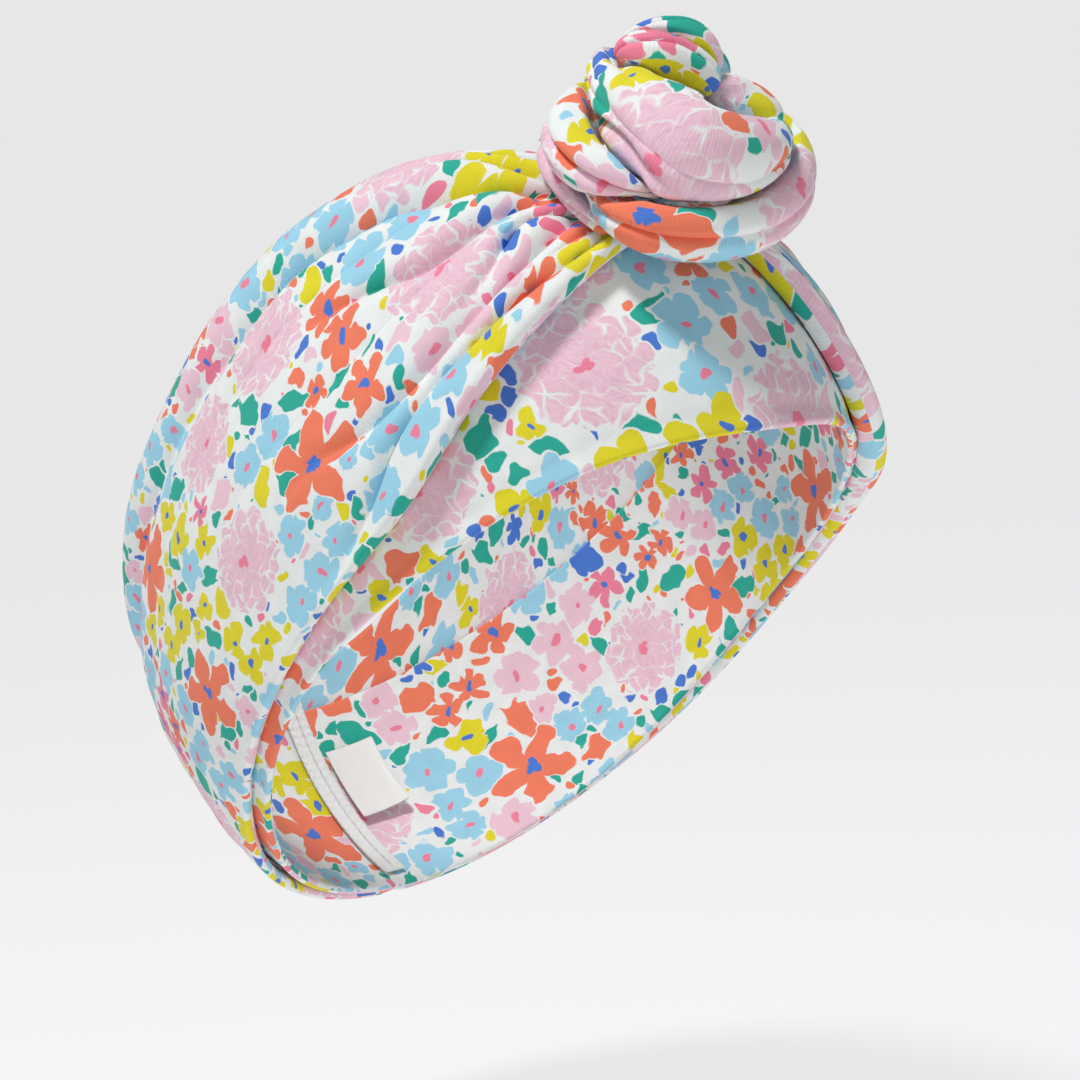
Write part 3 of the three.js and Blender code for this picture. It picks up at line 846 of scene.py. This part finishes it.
def choice(value, *steps):
    """A colour picked by a random value: steps are (share of the picks, colour code)."""
    node = value.socket.id_data.nodes.new("ShaderNodeValToRGB")
    ramp = node.color_ramp
    ramp.interpolation = "CONSTANT"
    total = sum(share for share, _ in steps)
    start = 0.0
    for index, (share, code) in enumerate(steps):
        element = ramp.elements[index] if index < 2 else ramp.elements.new(start)
        element.position = start
        element.color = linear(code)
        start += share / total
    feed(node.inputs[0], value)
    return node.outputs[0]


def noise_field(spot, scale, detail):
    """Three smooth random fields."""
    node = spot.id_data.nodes.new("ShaderNodeTexNoise")
    node.noise_dimensions = "2D"
    set_inputs(node, Vector=spot, Scale=scale, Detail=detail)
    return unpair(node.outputs["Color"])


def voronoi(spot, feature, randomness, scale=1.0):
    """A node that parts the cloth into cells."""
    node = spot.id_data.nodes.new("ShaderNodeTexVoronoi")
    node.voronoi_dimensions = "2D"
    node.feature = feature
    set_inputs(node, Vector=spot, Scale=scale, Randomness=randomness)
    return node


class Scatter:
    """Motifs scattered one to a cell of about size millimetres. Holds, for the cell under (x, y): the
    place (x, y) from the motif's centre, turned by the cell's own random angle, its distance, the
    centre itself, the room round it and random numbers."""

    def __init__(self, x, y, size, seed, randomness=0.5):
        offset_x, offset_y = 17.3 * seed, 9.7 * seed
        spot = pair(x / size + offset_x, y / size + offset_y)
        middle = voronoi(spot, "F1", randomness).outputs["Position"]
        ball = voronoi(spot, "N_SPHERE_RADIUS", randomness)
        self.room = Field(ball.outputs["Radius"]) * size
        noise = spot.id_data.nodes.new("ShaderNodeTexWhiteNoise")
        noise.noise_dimensions = "2D"
        set_inputs(noise, Vector=middle)
        self.kind = Field(noise.outputs["Value"])
        self.random = unpair(noise.outputs["Color"])
        middle_x, middle_y, _ = unpair(middle)
        self.centre = (middle_x - offset_x) * size, (middle_y - offset_y) * size
        away_x, away_y = x - self.centre[0], y - self.centre[1]
        self.distance = (away_x * away_x + away_y * away_y).op("SQRT")
        turn = self.random[1] * 6.28
        c, s = turn.op("COSINE"), turn.op("SINE")
        self.x = away_x * c + away_y * s
        self.y = away_y * c - away_x * s

    def petals(self, radius, count, notch, sharp):
        """How far inside a flower's outline: count petals, notch deep, pointed as sharp grows."""
        away = (self.x * self.x + self.y * self.y).op("SQRT")
        angle = self.y.op("ARCTAN2", self.x)
        wave = (angle * (count / 2)).op("COSINE").op("ABSOLUTE")
        return radius * (1.0 - notch * (1.0 - wave).op("POWER", sharp)) - away


# The print, in millimetres: how soft its outlines are, how wide the bare cloth round a motif is, and
# the sizes of the motifs. HIDDEN sinks a motif that has no room below the cloth.
SOFT = 0.3
MOAT = 0.6
BLOOM_RADIUS = 13.6
BLOOM_CORE = 2.2
BLOOM_CELL = 47.0
PETAL = 4.4
FLOWER_RADIUS = 6.7
FLOWER_CELL = 12.8
FLOWER_GROUP = 30.0
LEAF_REACH = 7.6
LEAF_CELL = 10.6
DAB_CELL = 4.9
HIDDEN = 60.0


class Bloom(Scatter):
    """The big motif nearest a place: a peony of many petals, or a five-petalled star."""

    def __init__(self, x, y):
        super().__init__(x, y, BLOOM_CELL, 3)
        self.is_star = (self.kind - 0.55).soft_step(0.001)
        star = self.petals(BLOOM_RADIUS, 5, 0.64, 0.9)
        ruffle = self.petals(BLOOM_RADIUS * 1.04, 11, 0.12, 1.4)
        self.inside = ruffle + (star - ruffle) * self.is_star


class Flower(Scatter):
    """The flower nearest a place. It is as big as its cell and the blooms beside it leave room for."""

    def __init__(self, x, y):
        super().__init__(x, y, FLOWER_CELL, 5)
        room = (self.room * 1.12).op("MINIMUM", FLOWER_RADIUS)
        self.size = room.op("MINIMUM", -1.0 * Bloom(*self.centre).inside - MOAT)
        self.sunk = HIDDEN * (1.0 - (self.size - 3.2).soft_step(0.01))
        self.inside = self.size - self.distance - self.sunk


class Leaf(Scatter):
    """The leaf nearest a place, bent like a bow, in the room that blooms and flowers leave."""

    def __init__(self, x, y):
        super().__init__(x, y, LEAF_CELL, 7)
        taken = Bloom(*self.centre).inside.op("MAXIMUM", Flower(*self.centre).inside)
        room = (self.room * 1.4).op("MINIMUM", LEAF_REACH)
        reach = room.op("MINIMUM", -1.9 * taken - MOAT)
        plump = 0.44 + 0.16 * self.random[0]
        bend = (self.random[2] - 0.5) * 0.09
        along = self.x / reach
        across = (self.y - bend * self.x * self.x).op("ABSOLUTE")
        blade = reach * plump * (1.0 - along * along) - across
        self.inside = blade - HIDDEN * (1.0 - (reach - 2.0).soft_step(0.01))


def laid(result, inside, colour):
    """A motif laid on the print so far, with a pale moat round it."""
    result = mixed((inside + MOAT).soft_step(SOFT), result, GROUND)
    return mixed(inside.soft_step(SOFT), result, colour)


def print_dabs(result, x, y):
    """Small oval brush dabs, as big as the gaps between the other motifs allow."""
    dab = Scatter(x, y, DAB_CELL, 11)
    taken = Bloom(*dab.centre).inside.op("MAXIMUM", Flower(*dab.centre).inside)
    taken = taken.op("MAXIMUM", Leaf(*dab.centre).inside)
    reach = (dab.room * 1.15).op("MINIMUM", -1.1 * taken - 0.2)
    oval = (dab.x * dab.x + (dab.y * dab.y) * (1.3 + 1.2 * dab.random[0])).op("SQRT")
    inside = reach - oval - HIDDEN * (0.6 - reach).soft_step(0.01)
    colour = choice(dab.kind, (0.22, BLUE), (0.18, CORAL), (0.16, GREEN), (0.13, YELLOW), (0.14, SKY),
                    (0.09, HOT_PINK), (0.08, PALE_PINK))
    return laid(result, inside, colour)


def print_leaves(result, x, y):
    """Green leaves, and some yellow, coral and pink ones."""
    blade = Leaf(x, y)
    colour = choice(blade.kind, (0.60, GREEN), (0.10, YELLOW), (0.14, CORAL), (0.16, PALE_PINK))
    return laid(result, blade.inside, colour)


def print_flowers(result, x, y):
    """Round, long-petalled and heart-shaped flowers with bright middles, in groups of a colour."""
    flower = Flower(x, y)
    group = Scatter(*flower.centre, FLOWER_GROUP, 13, randomness=0.9)
    kind = (group.kind + 0.16 * flower.kind).op("FRACT")
    round_petals = flower.petals(flower.size, 5, 0.28, 2.2)
    long_petals = flower.petals(flower.size * 1.06, 5, 0.56, 1.2)
    hearts = flower.petals(flower.size * 1.04, 3, 0.48, 1.9)
    inside = round_petals + (long_petals - round_petals) * (kind - 0.56).soft_step(0.001)
    inside = inside + (hearts - inside) * (kind - 0.76).soft_step(0.001) - flower.sunk
    colour = choice(kind, (0.38, SKY), (0.18, PALE_PINK), (0.07, HOT_PINK), (0.11, CORAL), (0.02, BLUE),
                    (0.24, YELLOW))
    result = laid(result, inside, colour)
    middle = flower.size * 0.21 - flower.distance - flower.sunk
    middle_colour = choice(kind, (0.56, HOT_PINK), (0.20, BLUE), (0.24, BLUE))
    return mixed(middle.soft_step(SOFT), result, middle_colour)


def print_blooms(result, x, y):
    """The big motifs: pale peonies whose petals have thin broken gaps, and coral stars."""
    bloom = Bloom(x, y)
    gaps = voronoi(pair(bloom.x, bloom.y * 1.3), "DISTANCE_TO_EDGE", 1.0, scale=1 / PETAL)
    broken = noise_field(pair(bloom.x, bloom.y), 0.3, 0.0)
    rim = (1.0 - bloom.inside / 7.5).op("MAXIMUM", 0.0)
    seam = Field(gaps.outputs["Distance"]) * PETAL + 0.03 - 0.5 * rim + (broken[0] - 0.455) * 1.2
    streak = noise_field(pair(bloom.x, bloom.y * 2.5), 0.5, 2.0)
    pink = mixed((streak[0] * 2.4 - 1.0).op("MINIMUM", 1.0).op("MAXIMUM", 0.0), PALE_PINK, PINK)
    peony = mixed(seam.soft_step(0.6), GROUND, pink)
    result = laid(result, bloom.inside, mixed(bloom.is_star, peony, CORAL))
    core = bloom.petals(BLOOM_CORE, 3, 0.5, 1.4)
    return mixed(core.soft_step(SOFT), result, mixed(bloom.is_star, HOT_PINK, BLUE))


# The knit's rib and row, and how far painted outlines wander, in millimetres.
WALE = 0.58
COURSE = 0.44
HAND_WOBBLE = 3.4
BRUSH_WOBBLE = 0.7


def knit_height(x, y):
    """The relief of jersey: ribs along y, each a row of small V-shaped stitches. From 0 to 1."""
    wale = (x / WALE).op("FRACT") - 0.5
    rib = 1.0 - (wale * 2.0).op("POWER", 2.0)
    chevron = (y / COURSE + wale.op("ABSOLUTE") * 1.2) * 6.283
    loop = chevron.op("SINE") * 0.5 + 0.5
    return rib * (0.62 + 0.38 * loop)


def new_cloth(name):
    """A new material, its shader and the flat place (x, y) on its cloth map in millimetres."""
    material = bpy.data.materials.new(name)
    material.use_nodes = True
    nodes = material.node_tree.nodes
    chart = nodes.new("ShaderNodeUVMap")
    chart.uv_map = "cloth"
    u, v, _ = unpair(chart.outputs["UV"])
    return material, nodes["Principled BSDF"], u * 1000.0, v * 1000.0


def raise_relief(shader, height, distance, strength):
    """Raises a cloth's surface by a relief, distance metres high."""
    bump = shader.id_data.nodes.new("ShaderNodeBump")
    set_inputs(bump, Strength=strength, Distance=distance, Height=height)
    set_inputs(shader, Normal=bump.outputs["Normal"])


def printed_jersey(name):
    """Printed cotton jersey: painted flowers, soft colour with painted shade in the knit's grooves, knit
    relief and a little fuzz.
    """
    material, shader, x, y = new_cloth(name)
    wobble = noise_field(pair(x, y), 0.2, 0.0)
    brush = noise_field(pair(x, y), 0.5, 0.0)
    painted = [
        flat + (wobble[way] - 0.5) * HAND_WOBBLE + (brush[way] - 0.5) * BRUSH_WOBBLE
        for way, flat in enumerate((x, y))
    ]
    colour = print_dabs(GROUND, *painted)
    for print_motifs in (print_leaves, print_flowers, print_blooms):
        colour = print_motifs(colour, *painted)
    knit = knit_height(x, y)
    fleck = noise_field(pair(x, y), 2.4, 2.0)
    # The colour is darkened in the grooves between the knit's ribs and stitches, which is painted shade of
    # the knit relief. The fleck and wobble terms grey it at random.
    knit_shade_and_tone = (0.78 + 0.09 * knit + 0.10 * fleck[2] + 0.08 * wobble[2]).op("MINIMUM", 1.0)
    grey = shader.id_data.nodes.new("ShaderNodeCombineColor")
    set_inputs(grey, Red=knit_shade_and_tone, Green=knit_shade_and_tone, Blue=knit_shade_and_tone)
    shade = shader.id_data.nodes.new("ShaderNodeMix")
    shade.data_type = "RGBA"
    shade.blend_type = "MULTIPLY"
    for slot, value in ((0, 1.0), (6, colour), (7, grey.outputs[0])):
        feed(shade.inputs[slot], value)
    raise_relief(shader, knit + 0.5 * fleck[0], 0.00012, 0.45)
    rough = (0.84 + 0.1 * fleck[1]).op("MINIMUM", 0.95)
    set_inputs(shader, Base_Color=shade.outputs[2], Roughness=rough, Specular_IOR_Level=0.25)
    set_inputs(shader, Sheen_Weight=0.12, Sheen_Roughness=0.4)
    return material


def plain_cloth(name, code, roughness):
    """A material of one soft colour, greyed here and there. Returns the same as new_cloth."""
    material, shader, x, y = new_cloth(name)
    fleck = noise_field(pair(x, y), 3.0, 2.0)
    shade = mixed((0.25 * fleck[0]).op("MINIMUM", 1.0), code, "9A9C9E")
    set_inputs(shader, Base_Color=shade, Roughness=roughness)
    return material, shader, x, y


def ribbed_elastic():
    """Woven elastic: rounded ribs along it, crossed by fine picks."""
    material, shader, x, y = plain_cloth("ribbed_elastic", "F1F1EE", 0.7)
    rib = (y * 3.14).op("SINE").op("ABSOLUTE")
    pick = (x * 9.0).op("SINE") * 0.2
    raise_relief(shader, rib + pick, 0.0003, 0.8)
    return material


def overlocked_edge():
    """The wrong side of the jersey, bound by overlock loops of thread."""
    material, shader, x, y = plain_cloth("overlocked_edge", "F3F5F4", 0.9)
    loop = ((y * 2.6) + (x * 3.0).op("SINE") * 0.8).op("SINE")
    raise_relief(shader, loop * 0.5 + knit_height(x, y) * 0.4, 0.0002, 0.7)
    set_inputs(shader, Sheen_Weight=0.1)
    return material


def twisted_thread():
    """Spun polyester thread with its twist."""
    material, shader, x, y = plain_cloth("twisted_thread", "FAFAF8", 0.5)
    raise_relief(shader, (y * 14.0 + x * 7.0).op("SINE"), 0.0001, 0.8)
    return material


def satin_ribbon():
    """Woven satin ribbon: fine floats along it."""
    material, shader, x, y = plain_cloth("satin_ribbon", "F8F8F6", 0.38)
    floats = (y * 16.0).op("SINE") * 0.5 + (x * 5.0).op("SINE") * 0.3
    raise_relief(shader, floats, 0.00006, 0.7)
    set_inputs(shader, Anisotropic=0.6, Sheen_Weight=0.1)
    return material


# ---- assembly
set_camera()
set_studio()
make_floor()

# Points at the foot of the fold under the knot, on the wrap, and at its top, towards the knot.
UNDER_FOLD_FOOT = tuple(head_point(12.0, 12.0, 7.5) * MM)
UNDER_FOLD_TOP = tuple(head_point(12.0, 12.0, 13.5) * MM)


def finish_piece(piece, material, slot, *nodes):
    """Gives a piece its material and hides the CAD nodes that it stands for. slot is not used."""
    piece.data.materials.append(material)
    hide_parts(*nodes)


jersey = printed_jersey("printed_jersey")
inner_band = make_inner_band()
RIGHT_WRAP = (1, RIGHT_FOLD, RIGHT_CREASES, 11)
LEFT_WRAP = (-1, LEFT_FOLD, LEFT_CREASES, 23)
right_wrap = make_wrap("right_wrap", *RIGHT_WRAP)
left_wrap = make_wrap("left_wrap", *LEFT_WRAP)
finish_piece(inner_band, jersey, "band_jersey", "inner_band_front", "inner_band_back")
for side, wrap in (("right", right_wrap), ("left", left_wrap)):
    finish_piece(wrap, jersey, "wrap_jersey", f"{side}_wrap_front", f"{side}_wrap_back", f"{side}_wrap_neck")
for cloth in (inner_band, right_wrap, left_wrap):
    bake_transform(cloth)

elastic = make_nape_elastic()
finish_piece(elastic, ribbed_elastic(), "elastic", "nape_elastic")
allowance = make_seam_allowance()
finish_piece(allowance, overlocked_edge(), "band_jersey", "back_seam_allowance")
label = make_label()
finish_piece(label, satin_ribbon(), "label", "care_label")
thread = twisted_thread()
seam = make_stitches("back_seam_thread", 180, SEAM_LOW + 1, SEAM_HIGH - 1, level(-1.22), rise=-0.3)
finish_piece(seam, thread, "thread", "back_seam_stitches")
for piece, body in ((elastic, "band_back"), (allowance, "band_back"), (label, "label"), (seam, "band_back")):
    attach(piece, body)

tacks = {}
for name, facts in (("right", RIGHT_WRAP), ("left", LEFT_WRAP)):
    surface = wrap_surface(*facts, TACK_PLACE)
    tacks[name] = make_stitches(f"{name}_tack_thread", facts[0] * TACK_PLACE, TACK_LOW, TACK_HIGH, surface)
    finish_piece(tacks[name], thread, "thread", f"{name}_tack_stitches")
    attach(tacks[name], "band_front")

for seed, name in enumerate(STRANDS):
    strand = make_strand(name, 60 + seed)
    strand.name = name + "_cloth"
    finish_piece(strand, jersey, "knot_jersey", name)
    if name == "knot_under_fold":
        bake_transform(strand)
    else:
        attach(strand, "knot")
